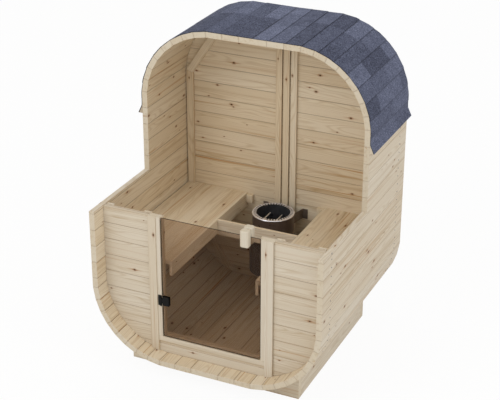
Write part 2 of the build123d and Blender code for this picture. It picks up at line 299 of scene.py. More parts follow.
def late_wood(start, grain, halo):
    """The dark late wood of each year's ring. The rings wander, and swerve round a knot."""
    across, depth = grain.part(1), grain.part(2)
    drift = streaks(start, grain, *DRIFT) - NOISE_MIDDLE
    heart = (across * across + depth * depth) ** 0.5 + drift * RING_WANDER + halo * RING_SWERVE
    ring = (heart * (2 * math.pi / RING_PITCH)).wave()
    return ring * ring * ring


stave_low, stave_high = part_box("floor_staves")
print("rings in a stave's thickness", round((stave_high.z - stave_low.z) / RING_PITCH, 1))

# %% [markdown]
# ## Cut ends and seams
# A sawn end is duller than a planed face, and shade falls into the seam where a board meets the
# next one. Thin dark strips between the boards could stand for that, but they would show as steps.
# So each board carries its room, which is the distance left to its two neighbours, and the shader
# paints brown shade over the last few millimetres.

# %% Dust and painted seam shade
SEAM_REACH = (0.0004, 0.0036)
SEAM_SHARE, SEAM_ON_ENDS = 0.6, 0.25
SEAM_SHADE_BROWN = colour(116, 84, 54)
DUST_SHARE = 0.35
END_DUST = colour(206, 194, 170)


def carried(start, name):
    """One number that the mesh carries."""
    return start.node("ShaderNodeAttribute", {"attribute_name": name}, out="Fac")


def dusted_and_seam_shaded(start, wood, cut_end):
    """Wood with dust on its cut ends, and painted shade along its seams."""
    room = carried_vector(start, "room")
    broad = carried(start, "broad")
    # Painted shade: the last few millimetres next to a neighbouring board are darkened, as shade lying in
    # the seam.
    seam = (1 - room.part(0).smaller(room.part(1)).step(*SEAM_REACH)) * broad.larger(cut_end)
    wood = (cut_end * DUST_SHARE).mix(wood, END_DUST)
    return (seam * (SEAM_SHARE - cut_end * SEAM_ON_ENDS)).mix(wood, SEAM_SHADE_BROWN)


print("seams darken the last", SEAM_REACH[1], "m")

# %% [markdown]
# ## Relief of the wood
# A planed board is never quite flat: the hard late wood stands up a little, and a knot's core sinks
# in. Cutting that into the mesh would take far too many faces, so a bump tilts the light instead. It
# changes only how the surface is lit, and the outline stays as it is.

# %% Bump
LATE_RISE, FIBRE_RISE, CORE_SINK = 0.5, 0.6, 0.4
WOOD_RELIEF = (0.25, 0.0006)


def relief(start, height, strength, distance):
    """A bump for the shader's Normal."""
    values = {"Strength": strength, "Distance": distance, "Height": height}
    return start.node("ShaderNodeBump", values=values)


def wood_relief(start, late, fibre, core):
    """Late wood and fibres stand up, and the core of a knot lies lower."""
    height = late * LATE_RISE + fibre * FIBRE_RISE - core * CORE_SINK
    return relief(start, height, *WOOD_RELIEF)


print("relief", WOOD_RELIEF[1], "m")

# %% [markdown]
# ## Planed spruce
# A planed board shows its rings, darker bands, short fibres, thin resin veins and knots. It differs
# in tone from its neighbours, and on faces that look into the room it is painted lighter and warmer,
# as painted light for the light that bounces round inside the sauna. One material could be made for
# each board, but there are more than a hundred boards. Here one material reads what each board
# carries, so no two are alike.

# %% Spruce material
BAND = ((1.1, 34.0, 34.0), 3.0)
FIBRE = ((14.0, 900.0, 900.0), 2.0)
VEIN = ((0.8, 70.0, 70.0), 3.0)
BAND_RIM = (0.5, 0.74)
LATE_SHARE, BAND_SHARE, FIBRE_SHARE = 0.38, 0.52, 0.3
TONE_SPAN, TONE_SHARE = (-2.2, 2.2), 0.5
VEIN_RIM, VEIN_TONES = (0.58, 0.74), (-0.6, 1.4)
VEIN_SHARE, VEIN_LEAST = 0.75, 0.15
RESIN_BROWN = colour(172, 128, 78)
PAINTED_ROOM_LIGHT_TINT = (1.15, 1.12, 1.05, 1.0)
WOOD_IOR = 1.45
MATT, LATE_GLOSS, FIBRE_GLOSS, CORE_MATT = 0.62, 0.1, 0.2, 0.1


def spruce(name, pale, deep, warm, sheen):
    """Planed spruce: pale early wood, deep late wood, and a warm tint that grows with the tone."""
    material, start, shader = finish_of(name, IOR=WOOD_IOR, Specular_IOR_Level=sheen)
    grain = carried_vector(start, "grain")
    tone, cut_end, mellow = (carried(start, key) for key in ("tone", "cut_end", "mellow"))
    masks = knot_masks(start, grain.part(0), grain.part(1))
    core, halo, _ = masks
    late = late_wood(start, grain, halo)
    band, fibre, vein = (streaks(start, grain, *manner) for manner in (BAND, FIBRE, VEIN))
    fine = fibre - NOISE_MIDDLE

    wood = (late * LATE_SHARE + band.step(*BAND_RIM) * BAND_SHARE + fine * FIBRE_SHARE).mix(pale, deep)
    wood = (tone.step(*TONE_SPAN) * TONE_SHARE).mix(wood, warm, "MULTIPLY")
    resin = vein.step(*VEIN_RIM) * (tone.step(*VEIN_TONES) * VEIN_SHARE + VEIN_LEAST)
    wood = knotted(resin.mix(wood, RESIN_BROWN), masks, band)
    # Painted light: faces that look into the room are made lighter and warmer, for the light that bounces
    # inside.
    wood = mellow.mix(dusted_and_seam_shaded(start, wood, cut_end), PAINTED_ROOM_LIGHT_TINT, "MULTIPLY")
    feed(wood, shader, "Base Color")
    feed(MATT - late * LATE_GLOSS + fine * FIBRE_GLOSS + core * CORE_MATT, shader, "Roughness")
    feed(wood_relief(start, late, fibre, core), shader, "Normal")
    return material


print("roughness of planed wood about", MATT)

# %% [markdown]
# ## Boards and grips
# The boards and the door's grips are both spruce, but the grips are more even, with less between their
# early and late wood. A second material could be built from nothing, but only the colours and the
# sheen differ, so the same function makes both.

# %% Two spruce finishes
spruce_finish = spruce(
    "planed_spruce", sheen=0.3,
    pale=colour(214, 204, 187), deep=colour(182, 161, 130), warm=colour(240, 229, 211),
)
handle_finish = spruce(
    "handle_spruce", sheen=0.35,
    pale=colour(214, 206, 190), deep=colour(194, 178, 152), warm=colour(246, 240, 230),
)
print("spruce nodes", len(spruce_finish.node_tree.nodes))

# %% [markdown]
# ## From solids to boards
# A packed node holds one or more solids, such as the five staves of the roof. Boards could be
# modelled again from numbers, but the solids already have the right places. So each node's mesh
# is welded and taken apart, and each solid in it becomes a small mesh of its own.

# %% The solids of a node
WELD = 1e-5
FLAT_ANGLE = math.radians(1.0)


def island_of(first):
    """All corners that edges link to a first one."""
    island, reached = set(), [first]
    while reached:
        vertex = reached.pop()
        if vertex not in island:
            island.add(vertex)
            reached += [e.other_vert(vertex) for e in vertex.link_edges]
    return island


def copied(mesh, corners, faces):
    """Copies of some corners, and of the faces between them, in another mesh."""
    twin = {v: mesh.verts.new(v.co) for v in corners}
    for face in faces:
        mesh.faces.new([twin[v] for v in face.verts])


def solids_of(node):
    """The separate welded solids of a node."""
    whole = bmesh.new()
    whole.from_mesh(nodes[node].data)
    bmesh.ops.remove_doubles(whole, verts=whole.verts, dist=WELD)
    bmesh.ops.dissolve_limit(whole, angle_limit=FLAT_ANGLE, verts=whole.verts, edges=whole.edges)
    found = []
    left = set(whole.verts)
    while left:
        island = island_of(min(left, key=lambda v: v.index))
        left -= island
        faces = {f for v in island for f in v.link_faces}
        found.append(bmesh.new())
        copied(found[-1], sorted(island, key=lambda v: v.index), sorted(faces, key=lambda f: f.index))
    whole.free()
    return found


print("roof staves", len(solids_of("roof_staves")))

# %% [markdown]
# ## Cutting and easing
# A wall panel is one solid, but the real wall is many boards whose edges are planed off a little.
# The seams could be drawn as dark lines in the material alone, but then the outline and the light
# would miss them. So a panel is sliced with parallel cuts, and every sharp edge is bevelled.

# %% Slices and eased edges
CROSSWISE = Vector((1, 0, 0))
LENGTHWISE = Vector((0, 1, 0))
UPRIGHT = Vector((0, 0, 1))
SHARP_ANGLE = math.radians(50.0)
EASE_STEPS = 2
ROUND_PROFILE = 0.5


def extent(solid, direction):
    """The lowest and highest reach of a solid in a direction."""
    places = [v.co.dot(direction) for v in solid.verts]
    return min(places), max(places)


def slab(solid, direction, low, high):
    """The part of a solid between two parallel cuts."""
    piece = solid.copy()
    for place, side in ((low, -1), (high, 1)):
        everything = list(piece.verts) + list(piece.edges) + list(piece.faces)
        cut = {"plane_co": direction * place, "plane_no": direction * side, "clear_outer": True}
        bmesh.ops.bisect_plane(piece, geom=everything, **cut)
        rim = [e for e in piece.edges if e.is_boundary]
        bmesh.ops.holes_fill(piece, edges=rim, sides=0)
    return piece


def sliced(solid, direction, seams, gap):
    """A panel cut into boards at the seams, with a narrow gap between them."""
    low, high = extent(solid, direction)
    inside = [s for s in sorted(seams) if low + gap < s < high - gap]
    edges = [low - gap] + inside + [high + gap]
    return [slab(solid, direction, a + gap / 2, b - gap / 2) for a, b in zip(edges, edges[1:])]


def eased(solid, width):
    """A solid with its sharp edges rounded off."""
    sharp = [e for e in solid.edges if len(e.link_faces) == 2 and e.calc_face_angle() > SHARP_ANGLE]
    shape = {"segments": EASE_STEPS, "profile": ROUND_PROFILE, "affect": "EDGES", "clamp_overlap": True}
    bmesh.ops.bevel(solid, geom=sharp, offset=width, **shape)
    return solid


front_wall = solids_of("front_wall_left")[0]
print("front wall from", [round(v, 3) for v in extent(front_wall, LENGTHWISE)])

# %% [markdown]
# ## A board's own directions
# Grain runs along a board, so each board needs to know which way it lies. That could be typed in
# for each one, but its shape tells: the longest edge is its length, and the narrowest pair of
# sides gives its thickness. The planes where it meets the next board are kept too, for the seams.
# A side that lies at the open cut meets nothing, so its plane is put a metre further out.

# %% Length, width, thickness and meeting planes
TIE_DIGITS = 5
LEVEL_SLACK = 0.02
LEAST_FACE = 1e-5
SIDEWAYS = 0.6
FACING_UP = 0.9
CUT_SLACK = 0.003
OPEN_SIDE = 1.0
cut_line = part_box("front_wall_left")[1].z


def board_axes(solid, along):
    """A board's grain line, its width and its thickness as three directions."""
    if along is None:
        longest = max(solid.edges, key=lambda e: (round(e.calc_length(), TIE_DIGITS), -e.index))
        along = (longest.verts[1].co - longest.verts[0].co).normalized()
    level = [f for f in solid.faces if abs(f.normal.dot(along)) < LEVEL_SLACK]
    sides = [f.normal for f in level if f.calc_area() > LEAST_FACE]
    reaches = [extent(solid, normal) for normal in sides]
    spans = [(round(high - low, TIE_DIGITS), index) for index, (low, high) in enumerate(reaches)]
    thick = sides[min(spans)[1]].copy()
    thick = (thick - along * thick.dot(along)).normalized()
    return along, along.cross(thick).normalized(), thick


def side_planes(solid, width_way):
    """The planes where a board meets the next one, each as a direction and its reach."""
    found = []
    for way in (-width_way, width_way):
        facing = [f for f in solid.faces if f.normal.dot(way) > SIDEWAYS]
        normal = max(facing, key=lambda f: f.calc_area()).normal.copy() if facing else way
        reach = extent(solid, normal)[1]
        if normal.z > FACING_UP and abs(reach - cut_line) < CUT_SLACK:
            reach += OPEN_SIDE
        found.append((normal, reach))
    return found


print("cut at", round(cut_line, 3), "m")

# %% [markdown]
# ## Knots for each board
# On real boards the knots lie where the branches were. Placing them by hand would take a list for
# every board, so a seeded random draw scatters them by area. The seed makes each run the same.

# %% Knots of a board
SEED = 8132
KNOTS_PER_SQUARE_METRE = 19.0
KNOT_SIZES = (0.0024, 0.0034, 0.0046, 0.006)
KNOT_LENGTH_SHARE, KNOT_WIDTH_SHARE = 0.48, 0.42
rng = random.Random(SEED)


def knots_in(length, width):
    """Up to three knots as (place along, place across, size), and blanks for the rest."""
    wanted = length * width * KNOTS_PER_SQUARE_METRE
    count = min(len(KNOT_NAMES), int(wanted + rng.random()))
    found = []
    for number in range(len(KNOT_NAMES)):
        along = rng.uniform(-KNOT_LENGTH_SHARE, KNOT_LENGTH_SHARE) * length
        across = rng.uniform(-KNOT_WIDTH_SHARE, KNOT_WIDTH_SHARE) * width
        found.append((along, across, rng.choice(KNOT_SIZES) if number < count else 0.0))
    return found


print("knots on a square metre", KNOTS_PER_SQUARE_METRE)

# %% [markdown]
# ## What a face tells the shader
# Each face of a board tells three things: whether it is a cut end, whether it looks into the room
# and so gets painted bounce light, and how dark the painted shade in a seam may be on it. They could
# be painted on by hand, but the way that a face looks settles all three.

# %% Faces added to the lists
FACE_NUMBERS = ("cut_end", "broad", "mellow")
END_FACING = 0.9
EDGE_FACING = 0.85
INWARD_FACING = 0.1
ROOM_MIDDLE = Vector((0, 0.25, 0.95))


def add_faces(lists, solid, length_way, width_way, outer_seam):
    """A board's faces: which are cut ends, which look into the room and get painted light, and how dark the
    shade painted in their seams is.
    """
    first = len(lists["points"])
    for face in solid.faces:
        to_room = (ROOM_MIDDLE - face.calc_center_median()).normalized()
        inward = face.normal.dot(to_room) > INWARD_FACING
        flat = abs(face.normal.dot(width_way)) < EDGE_FACING
        lists["faces"].append([first + v.index for v in face.verts])
        lists["cut_end"].append(1.0 if abs(face.normal.dot(length_way)) > END_FACING else 0.0)
        # Faces that look into the room are marked for painted bounce light.
        lists["mellow"].append(1.0 if inward else 0.0)
        lists["broad"].append((1.0 if inward else outer_seam) if flat else 0.0)


print("a face carries", FACE_NUMBERS)

# %% [markdown]
# ## One board's points and faces
# A board brings its grain coordinates, its tone and its knots to the shader. Boards could be
# separate objects with separate settings, but a wall of them is easier to handle as one mesh.
# So each board adds its points, its faces and its values to shared lists. The grain is shifted by
# a random amount, so that each board looks cut from another part of the tree.

# %% A board added to the lists
POINT_VECTORS = ("grain", "room", *KNOT_NAMES)
GRAIN_SHIFTS = ((-30, 30), (-0.05, 0.05), (0.05, 0.13))
MOST_TONE = 2.0
NO_KNOT = (0.0, 0.0, 0.0)


def add_board(lists, solid, ease, along=None, knots=True, seams=True, outer_seam=1.0):
    """One board in the lists: outer_seam says how dark the painted shade in its seams is on the outside."""
    bmesh.ops.recalc_face_normals(solid, faces=solid.faces)
    solid.normal_update()
    ways = board_axes(solid, along)
    length_way, width_way, _ = ways
    spans = [extent(solid, way) for way in ways]
    planes = side_planes(solid, width_way) if seams else [(width_way, OPEN_SIDE)] * 2
    eased(solid, ease)
    bmesh.ops.dissolve_degenerate(solid, dist=WELD, edges=solid.edges)
    solid.normal_update()
    solid.verts.index_update()
    shift = Vector([rng.uniform(*limits) for limits in GRAIN_SHIFTS])
    tone = max(-MOST_TONE, min(MOST_TONE, rng.gauss(0, 1)))
    length, width, _ = (high - low for low, high in spans)
    rows = knots_in(length, width) if knots else [NO_KNOT] * len(KNOT_NAMES)
    add_faces(lists, solid, length_way, width_way, outer_seam)
    for vertex in solid.verts:
        local = Vector([vertex.co.dot(way) - sum(span) / 2 for way, span in zip(ways, spans)])
        lists["points"].append(vertex.co[:])
        lists["grain"].append(local + shift)
        lists["room"].append([reach - normal.dot(vertex.co) for normal, reach in planes] + [0.0])
        lists["tone"].append(tone)
        for key, (knot_along, knot_across, size) in zip(KNOT_NAMES, rows):
            lists[key].append((knot_along + shift.x, knot_across + shift.y, size))
    solid.free()


print("a point carries a tone and", POINT_VECTORS)

# %% [markdown]
# ## Pieces that ride on a body
# The real door turns on its hinge and takes its grips along, so every piece has to belong to the
# sauna or to the door. Parenting by hand would do, but one helper does it for every piece. A piece
# gets its material, rides on its body and says which packed nodes it stands for, so that those are
# hidden.

# %% Objects and pieces
def placed(name, data):
    """A new object in the scene."""
    thing = bpy.data.objects.new(name, data)
    bpy.context.scene.collection.objects.link(thing)
    return thing


def shown(name, mesh, finish, body="sauna", stand_for=()):
    """A mesh as a piece of the object, on its body and in its material slot."""
    mesh.materials.append(finish)
    piece = placed(name, mesh)
    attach(piece, body)
    if stand_for:
        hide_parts(*stand_for)
    print(name, "faces", len(mesh.polygons))
    return piece


# %% [markdown]
# ## A piece of timber
# A wall or a row of staves is many boards in one piece. Its lists could be written into the mesh by
# hand for each piece, but they always go the same way: points and faces first, then one attribute
# for each kind of value. So one function makes every wooden piece.

# %% Timber
def put(mesh, name, kind, domain, values):
    """Values on a mesh's points or faces, for its material to read."""
    attribute = mesh.attributes.new(name, kind, domain)
    if kind == "FLOAT_VECTOR":
        attribute.data.foreach_set("vector", [c for v in values for c in v])
    else:
        attribute.data.foreach_set("value", values)


def timber(name, node, solids, finish=spruce_finish, slot="spruce", body="sauna", **manner):
    """One piece made of boards, which stands for the node that they were cut from."""
    lists = {key: [] for key in ("points", "faces", "tone", *POINT_VECTORS, *FACE_NUMBERS)}
    for solid in solids:
        add_board(lists, solid, **manner)
    mesh = bpy.data.meshes.new(name)
    mesh.from_pydata(lists["points"], [], lists["faces"])
    put(mesh, "tone", "FLOAT", "POINT", lists["tone"])
    for key in POINT_VECTORS:
        put(mesh, key, "FLOAT_VECTOR", "POINT", lists[key])
    for key in FACE_NUMBERS:
        put(mesh, key, "FLOAT", "FACE", lists[key])
    return shown(name, mesh, finish, body, (node,))


print("timber takes", spruce_finish.name, "unless told otherwise")

# %% [markdown]
# ## The shell's staves
# The shell is a ring of bevelled staves, each one a long board. They could be sliced from one ring,
# but the solids are staves already, with their long edges eased. So only the cut ends are softened
# here. Outside, the seams are paler in the photograph than inside, so their painted shade is lighter.

# %% Staves
STAVE_NODES = (
    "floor_staves", "lower_right_corner", "lower_left_corner", "roof_staves", "upper_right_corner",
    "upper_left_corner", "left_side_lower", "left_side_upper", "right_side_lower", "right_side_upper",
)
STAVE_EASE = 0.0012
STAVE_SEAM = 0.4
for node in STAVE_NODES:
    staves = solids_of(node)
    timber(node + "_boards", node, staves, ease=STAVE_EASE, along=LENGTHWISE, outer_seam=STAVE_SEAM)

# %% [markdown]
# ## The cut tops and the tongues of the end walls
# Each end wall is made of level boards, which hold on to each other by tongues in grooves. On the
# cut top of the front wall two tongues lie bare. Inside the wall the tongues close the gaps between
# the boards. Each of those could be modelled, but nobody sees them, so one thin core stands for
# them all and stops the light.

# %% Bare tongues and the core of a wall
SEAM_GAP = 0.0005
TONGUE_HEIGHT = 0.008
TONGUE_WIDTH = 0.006
TONGUE_ROOT = 0.001
TONGUE_SHARES = (0.3, 0.7)
WALL_CORE_SHARE = 0.4
WALL_CORE_INSET = 0.98


def tongued(board):
    """A top board with its two tongues bare, as the cut leaves it."""
    low, high = extent(board, UPRIGHT)
    front, back = extent(board, LENGTHWISE)
    shoulder = high - TONGUE_HEIGHT
    body = slab(board, UPRIGHT, low - SEAM_GAP, shoulder)
    strip = slab(board, UPRIGHT, shoulder - TONGUE_ROOT, high + SEAM_GAP)
    for share in TONGUE_SHARES:
        middle = front + (back - front) * share
        tongue = slab(strip, LENGTHWISE, middle - TONGUE_WIDTH / 2, middle + TONGUE_WIDTH / 2)
        copied(body, tongue.verts, tongue.faces)
    return body


def centre_of(solid):
    """The mean of a solid's corners."""
    return sum((v.co for v in solid.verts), Vector()) / len(solid.verts)


def cored(solid):
    """The core inside a wall: the same outline, a little smaller, and thinner."""
    low, high = extent(solid, LENGTHWISE)
    middle = (low + high) / 2
    half = (high - low) * WALL_CORE_SHARE / 2
    core = slab(solid, LENGTHWISE, middle - half, middle + half)
    centre = centre_of(core)
    for vertex in core.verts:
        vertex.co = centre + (vertex.co - centre) * WALL_CORE_INSET
    return core


print("tongues at", TONGUE_SHARES, "of a wall's thickness")

# %% [markdown]
# ## The end walls
# The front wall's boards end level with the cut, so its seams are counted down from there. The back
# wall has boards of a slightly different width, counted from one seam. The boards could be separate
# solids in the packed model, but their seams are a matter of looks, so the panels are sliced here.

# %% End walls in boards
FRONT_PITCH = 0.1147
BACK_PITCH = 0.1134
BACK_SEAM = 1.797
WALL_EASE = 0.0016
SEAM_STEPS = range(-4, 20)


def board_wall(node, pitch, one_seam):
    """A wall panel cut into level boards, with bare tongues where its top is cut."""
    solid = solids_of(node)[0]
    seams = [one_seam - pitch * step for step in SEAM_STEPS]
    boards = sliced(solid, UPRIGHT, seams, SEAM_GAP)
    if abs(extent(boards[-1], UPRIGHT)[1] - cut_line) < CUT_SLACK:
        boards[-1] = tongued(boards[-1])
    boards.append(cored(solid))
    timber(node + "_boards", node, boards, ease=WALL_EASE, along=CROSSWISE)


for node in ("front_wall_right", "front_wall_left", "front_wall_apron"):
    board_wall(node, FRONT_PITCH, cut_line)
for node in ("back_wall_right", "back_wall_left"):
    board_wall(node, BACK_PITCH, BACK_SEAM)

# %% [markdown]
# ## Benches
# A bench seat is six narrow boards side by side, with a deeper board along its front. One wide plank
# would look like a shelf, so the seat's solid is sliced. The boards stop a few millimetres short of
# the shell, which leaves the dark line that the photograph shows there.

# %% Bench seats in boards
SEAT_BOARDS = 6
SEAT_GAP = 0.0006
SEAT_EASE = 0.001
FASCIA_EASE = 0.002
WALL_GAP = 0.007
for side in ("right", "left"):
    node = side + "_bench_seat"
    low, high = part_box(node)
    near, far = (low.x, high.x - WALL_GAP) if side == "right" else (low.x + WALL_GAP, high.x)
    width = (far - near) / SEAT_BOARDS
    seams = [near + width * step for step in range(1, SEAT_BOARDS)]
    boards = sliced(slab(solids_of(node)[0], CROSSWISE, near, far), CROSSWISE, seams, SEAT_GAP)
    timber(node + "_boards", node, boards, ease=SEAT_EASE, along=LENGTHWISE, seams=False)
    node = side + "_bench_fascia"
    timber(node + "_board", node, solids_of(node), ease=FASCIA_EASE, seams=False)

# %% [markdown]
# ## Frame timbers
# Posts, jambs, battens, runners and the cross boards of the base are single lengths of wood. Each
# could have its own function, but they differ only in shape, and the solids have that. A solid's
# longest edge gives its grain, so one loop makes them all. The grips of the door are rounder, and
# they have no knots.

# %% Posts, battens, base and grips
TIMBER_NODES = (
    "drip_battens", "front_cradle", "rear_cradle", "right_runner", "left_runner", "door_posts",
    "door_jambs", "door_sill", "door_stops", "front_wall_battens", "back_wall_battens",
    "back_centre_battens", "heater_rail", "rail_corner_blocks",
)
TIMBER_EASE = 0.0018
GRIP_EASE = 0.003
for node in TIMBER_NODES:
    timber(node + "_timber", node, solids_of(node), ease=TIMBER_EASE, seams=False)
timber(
    "door_handle_grips", "door_handles", solids_of("door_handles"),
    finish=handle_finish, slot="handle_spruce", body="door",
    ease=GRIP_EASE, along=UPRIGHT, knots=False, seams=False,
)

# %% [markdown]
# ## The line that the shingles follow
# The roof's covering bends over the shell and flares out at each eave, and the shingles follow that
# bend. The line could be worked out again from radii, but the covering's solid ends in a face that
# shows it. So the underside of that face is read as a row of points.

# %% Eave to eave
SHORT_END = 0.01


def covering_line():
    """The covering's underside from the right eave to the left one, as points in the XZ plane."""
    solid = solids_of("roof_covering")[0]
    solid.normal_update()
    cap = max(solid.faces, key=lambda f: -f.normal.y * f.calc_area())
    loop = [v.co.copy() for v in cap.verts]
    joins = [i for i in range(len(loop)) if (loop[i] - loop[i - 1]).length < SHORT_END]
    chains = [loop[joins[0]:joins[1]], loop[joins[1]:] + loop[:joins[0]]]
    chain = min(chains, key=lambda c: max(p.z for p in c))
    return chain if chain[0].x > 0 else chain[::-1]


eave_line = covering_line()
runs = [0.0]
for a, b in zip(eave_line, eave_line[1:]):
    runs.append(runs[-1] + (b - a).length)
roof_run = runs[-1]


def outward(index):
    """The direction away from the roof at a corner of the line."""
    before = eave_line[max(index - 1, 0)]
    after = eave_line[min(index + 1, len(eave_line) - 1)]
    way = (after - before).normalized()
    return Vector((way.z, 0, -way.x))


def roof_point(run, height, y):
    """A point on the roof: a distance along the line, a height off it, and a place front to back."""
    index = max(i for i in range(len(runs) - 1) if runs[i] <= run or i == 0)
    share = (run - runs[index]) / (runs[index + 1] - runs[index])
    place = eave_line[index].lerp(eave_line[index + 1], share)
    normal = outward(index).lerp(outward(index + 1), share).normalized()
    point = place + normal * height
    return (point.x, y, point.z)


print("roof line", len(eave_line), "points", round(roof_run, 3), "m")

# %% [markdown]
# ## Shingle tabs
# The roof wears bitumen shingles in courses that run from front to back. Each course laps over the
# one below it, and its tabs differ in tone. One sheet with a painted pattern would have no edges,
# so each tab is a thin plate of its own. It is thick at its lower edge, where it lies on the course
# below, and thin where the next course covers it. All of them stay within the covering's solid.

# %% One tab
COURSE_COUNT = 11
TAB_SPANS = 6
LOWER_EDGE = 0.0042
UPPER_EDGE = 0.002
RAISED = 0.001
LAP = 0.012
course = roof_run / 2 / COURSE_COUNT
lap_height = UPPER_EDGE + RAISED + (LOWER_EDGE - UPPER_EDGE) * LAP / (course + LAP)
roof = bmesh.new()
tone_layer = roof.verts.layers.float.new("tone")
lap_layer = roof.verts.layers.float.new("lap")
edge_layer = roof.faces.layers.float.new("edge")


def tab(low, high, front, back, seat, lift, tone):
    """One plate between two runs along the roof line. Its low end lies on the course below."""
    rows = []
    lapped = LAP / abs(high - low)
    shares = [0.0, lapped, 2 * lapped] + [step / TAB_SPANS for step in range(2, TAB_SPANS + 1)]
    for share in shares:
        run = low + (high - low) * share
        thick = LOWER_EDGE + (UPPER_EDGE - LOWER_EDGE) * share + lift
        under = seat if share <= lapped else 0.0
        row = [roof.verts.new(roof_point(run, h, y)) for y in (front, back) for h in (under, thick)]
        for vertex in row:
            vertex[lap_layer] = course - abs(high - low) * share
            vertex[tone_layer] = tone
        rows.append(row)
    for near, far in zip(rows, rows[1:]):
        for a, b in ((0, 1), (1, 3), (3, 2), (2, 0)):
            face = roof.faces.new((near[a], near[b], far[b], far[a]))
            face[edge_layer] = 0.0 if (a, b) == (1, 3) else 1.0
    for row in (rows[0], rows[-1]):
        roof.faces.new([row[i] for i in (0, 1, 3, 2)])[edge_layer] = 1.0


print("course", round(course, 4), "m")

# %% [markdown]
# ## Courses of shingles
# Each side of the roof has eleven courses, laid from the eave to the ridge. Tabs of one length would
# look like tiles, so their lengths and tones are drawn at random, and two neighbours in a course
# never share a tone. The courses get darker towards the eave, as they do in the photograph.

# %% Courses from eave to ridge
TAB_LONG = (0.18, 0.46)
TAB_TONES = (-1.0, -0.35, 0.3, 1.0)
TAB_SLIT = 0.0002
EAVE_SHADE = 0.8
cover_low, cover_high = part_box("roof_covering")


def mesh_of(name, solid):
    """A mesh that an object can show, from the one that was worked on."""
    data = bpy.data.meshes.new(name)
    solid.to_mesh(data)
    solid.free()
    return data


for side in (1, -1):
    for number in range(COURSE_COUNT):
        near = number * course
        far = min(near + course + LAP, roof_run / 2 - TAB_SLIT)
        low, high = (near, far) if side > 0 else (roof_run - near, roof_run - far)
        seat = lap_height if number else 0.0
        # Tabs are made darker towards the eave.
        eave_darkening = EAVE_SHADE * (1 - number / COURSE_COUNT)
        front = cover_low.y
        last_tone = 0.0
        while front < cover_high.y:
            back = front + rng.uniform(*TAB_LONG)
            if cover_high.y - back < TAB_LONG[0] / 2:
                back = cover_high.y
            tone = rng.choice([t for t in TAB_TONES if t != last_tone])
            lift = RAISED if tone < 0 else 0.0
            tab(low, high, front, back - TAB_SLIT, seat, lift, tone - eave_darkening)
            last_tone = tone
            front = back
bmesh.ops.recalc_face_normals(roof, faces=roof.faces)
roof_mesh = mesh_of("roof_shingles", roof)
print("shingle faces", len(roof_mesh.polygons))

# %% [markdown]
# ## Mineral grit
# Shingles are bitumen with crushed stone pressed into it. From near it is a scatter of light and dark
# blue-grey grains. Soft noise alone would look like cloth, so cells of their own shade make the
# grains, and soft clouds vary them. The cut edges are dark bitumen, which here also stands in for the
# shade along the course lines. A painted shadow lies where a course runs under the next one.

# %% Shingle finish
GRAIN_SCALE = 260.0
CLOUD_SCALE, CLOUD_DETAIL = 16.0, 5.0
GRIT_STOPS = [(0.0, colour(50, 53, 68)), (0.5, colour(88, 93, 114)), (1.0, colour(126, 132, 156))]
MIDDLE_SHADE, TAB_SHARE, CLOUD_SHARE, SPECK_SHARE = 0.5, 0.17, 0.35, 0.75
LAP_SHADOW_REACH, LAP_SHADOW_DARK, EDGE_DARK = (0.001, 0.011), 0.5, 0.85
BITUMEN = colour(30, 31, 38)
GRIT_SHEEN, GRIT_ROUGH, SPECK_GLOSS = 0.2, 0.95, 0.15
GRIT_RELIEF = (0.5, 0.0012)


def object_place(start):
    """A point's place on the object, so that a pattern doesn't slide when the object moves."""
    return start.node("ShaderNodeTexCoord", out="Object")


def shingle_finish():
    """Mineral grit on bitumen: blue-grey grains, lighter or darker from tab to tab."""
    material, start, shader = finish_of("shingle_grit", Specular_IOR_Level=GRIT_SHEEN)
    tone, edge, lap = (carried(start, name) for name in ("tone", "edge", "lap"))
    place = object_place(start)
    values = {"Vector": place, "Scale": GRAIN_SCALE}
    cells = start.node("ShaderNodeTexVoronoi", values=values, out="Color")
    speck = start.node("ShaderNodeSeparateColor", values={0: cells})
    cloud = noise(start, place, CLOUD_SCALE, CLOUD_DETAIL)
    shade = tone * TAB_SHARE + MIDDLE_SHADE
    shade = shade + (cloud - NOISE_MIDDLE) * CLOUD_SHARE + (speck - NOISE_MIDDLE) * SPECK_SHARE
    grains = start.node("ShaderNodeValToRGB", {"stops": GRIT_STOPS}, {0: shade})
    # Painted shadow under the edge of the next course. The dark cut edges are bitumen and also stand in for
    # shade along the course lines.
    lap_shadow = (1 - lap.step(*LAP_SHADOW_REACH)) * LAP_SHADOW_DARK
    feed((edge * EDGE_DARK).larger(lap_shadow).mix(grains, BITUMEN), shader, "Base Color")
    feed(GRIT_ROUGH - speck * SPECK_GLOSS, shader, "Roughness")
    feed(relief(start, speck + cloud, *GRIT_RELIEF), shader, "Normal")
    return material


shown("roof_shingles", roof_mesh, shingle_finish(), stand_for=("roof_covering",))

# %% [markdown]
# ## The glass door
# The door is one pane of bronze glass, with its edges ground a little round. It could stay a plain
# slab, but then no light would run along the edges. So the pane's solid is eased. Its faces and its
# rim are told apart here, because they get different finishes.

# %% Pane
PANE_EASE = 0.0008
PANE_FACING = 0.9
pane_solid = eased(solids_of("door_glass")[0], PANE_EASE)
pane_solid.normal_update()
for face in pane_solid.faces:
    face.material_index = 0 if abs(face.normal.y) > PANE_FACING else 1
pane_mesh = mesh_of("door_pane", pane_solid)

# %% [markdown]
# ## Bronze glass
# Real glass is clear through its faces and dark along its edges, where the eye looks down its whole
# depth. A single glass material would leave the edges pale, so the rim has a finish of its own. The
# faces get a faint haze, because no pane is perfectly clean.

